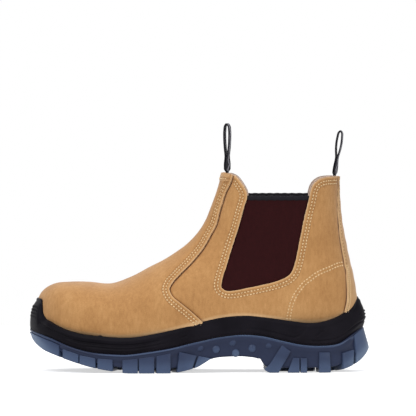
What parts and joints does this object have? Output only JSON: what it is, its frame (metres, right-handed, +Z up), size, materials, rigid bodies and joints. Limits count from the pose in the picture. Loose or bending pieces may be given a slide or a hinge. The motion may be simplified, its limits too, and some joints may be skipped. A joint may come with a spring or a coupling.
{
  "type": "steel toe work boot",
  "caption": "Pull-on ankle work boot with a steel toe cap, elastic side gores, webbing pull loops and a deep-lugged sole.",
  "frame": {"origin": "on the ground under the middle of the outsole's box", "axes": "+X towards the heel, -X towards the toe, +Z up, -Y towards the outer (lateral) side of this left boot"},
  "size_m": [0.3107, 0.1123, 0.228],
  "materials": {
    "suede": "nubuck, wheat tan, matt nap",
    "backstay_leather": "smooth matt leather, paler tan",
    "elastic": "ribbed woven elastic, dark maroon",
    "binding_tape": "black woven tape",
    "webbing": "black woven webbing with a pale pattern",
    "thread": "cream sewing thread",
    "lining_cloth": "pale non-woven lining",
    "lining_leather": "suede heel grip",
    "steel": "painted pressed steel",
    "edge_foam": "soft black strip",
    "counter_board": "moulded stiffener",
    "insole_fibre": "fibre board",
    "footbed_foam": "soft foam",
    "footbed_cloth": "knitted cloth",
    "midsole_foam": "black polyurethane, satin skin",
    "outsole_rubber": "blue translucent polyurethane"
  },
  "bodies": {
    "boot": {"vamp": "suede", "lateral_quarter": "suede", "medial_quarter": "suede", "front_tab_facing": "suede", "backstay": "backstay_leather", "lateral_gore": "elastic", "medial_gore": "elastic", "lateral_gore_binding": "binding_tape", "medial_gore_binding": "binding_tape", "vamp_lining": "lining_cloth", "lateral_quarter_lining": "lining_cloth", "medial_quarter_lining": "lining_cloth", "heel_lining": "lining_leather", "toe_cap": "steel", "shank": "steel", "toe_cap_edge_trim": "edge_foam", "heel_counter": "counter_board", "insole_board": "insole_fibre", "front_loop_tail": "webbing", "rear_loop_tail": "webbing", "midsole": "midsole_foam", "outsole": "outsole_rubber"},
    "front_loop": {"front_pull_loop": "webbing"},
    "rear_loop": {"rear_pull_loop": "webbing"},
    "footbed": {"footbed_foam": "footbed_foam", "footbed_cover": "footbed_cloth"}
  },
  "joints": [
    {"name": "front_loop_fold", "type": "hinge", "parent": "boot", "child": "front_loop", "pos_m": [0.02558, 0, 0.183], "axis": [0, 1, 0], "range_deg": [-88, 88], "stiffness_Nm_per_rad": 0.004},
    {"name": "rear_loop_fold", "type": "hinge", "parent": "boot", "child": "rear_loop", "pos_m": [0.1238, 0, 0.18], "axis": [0, 1, 0], "range_deg": [-96, 80], "stiffness_Nm_per_rad": 0.004},
    {"name": "footbed_lift", "type": "hinge", "parent": "boot", "child": "footbed", "pos_m": [-0.14068, 0, 0.04611], "axis": [0, -1, 0], "range_deg": [0, 6]}
  ]
}
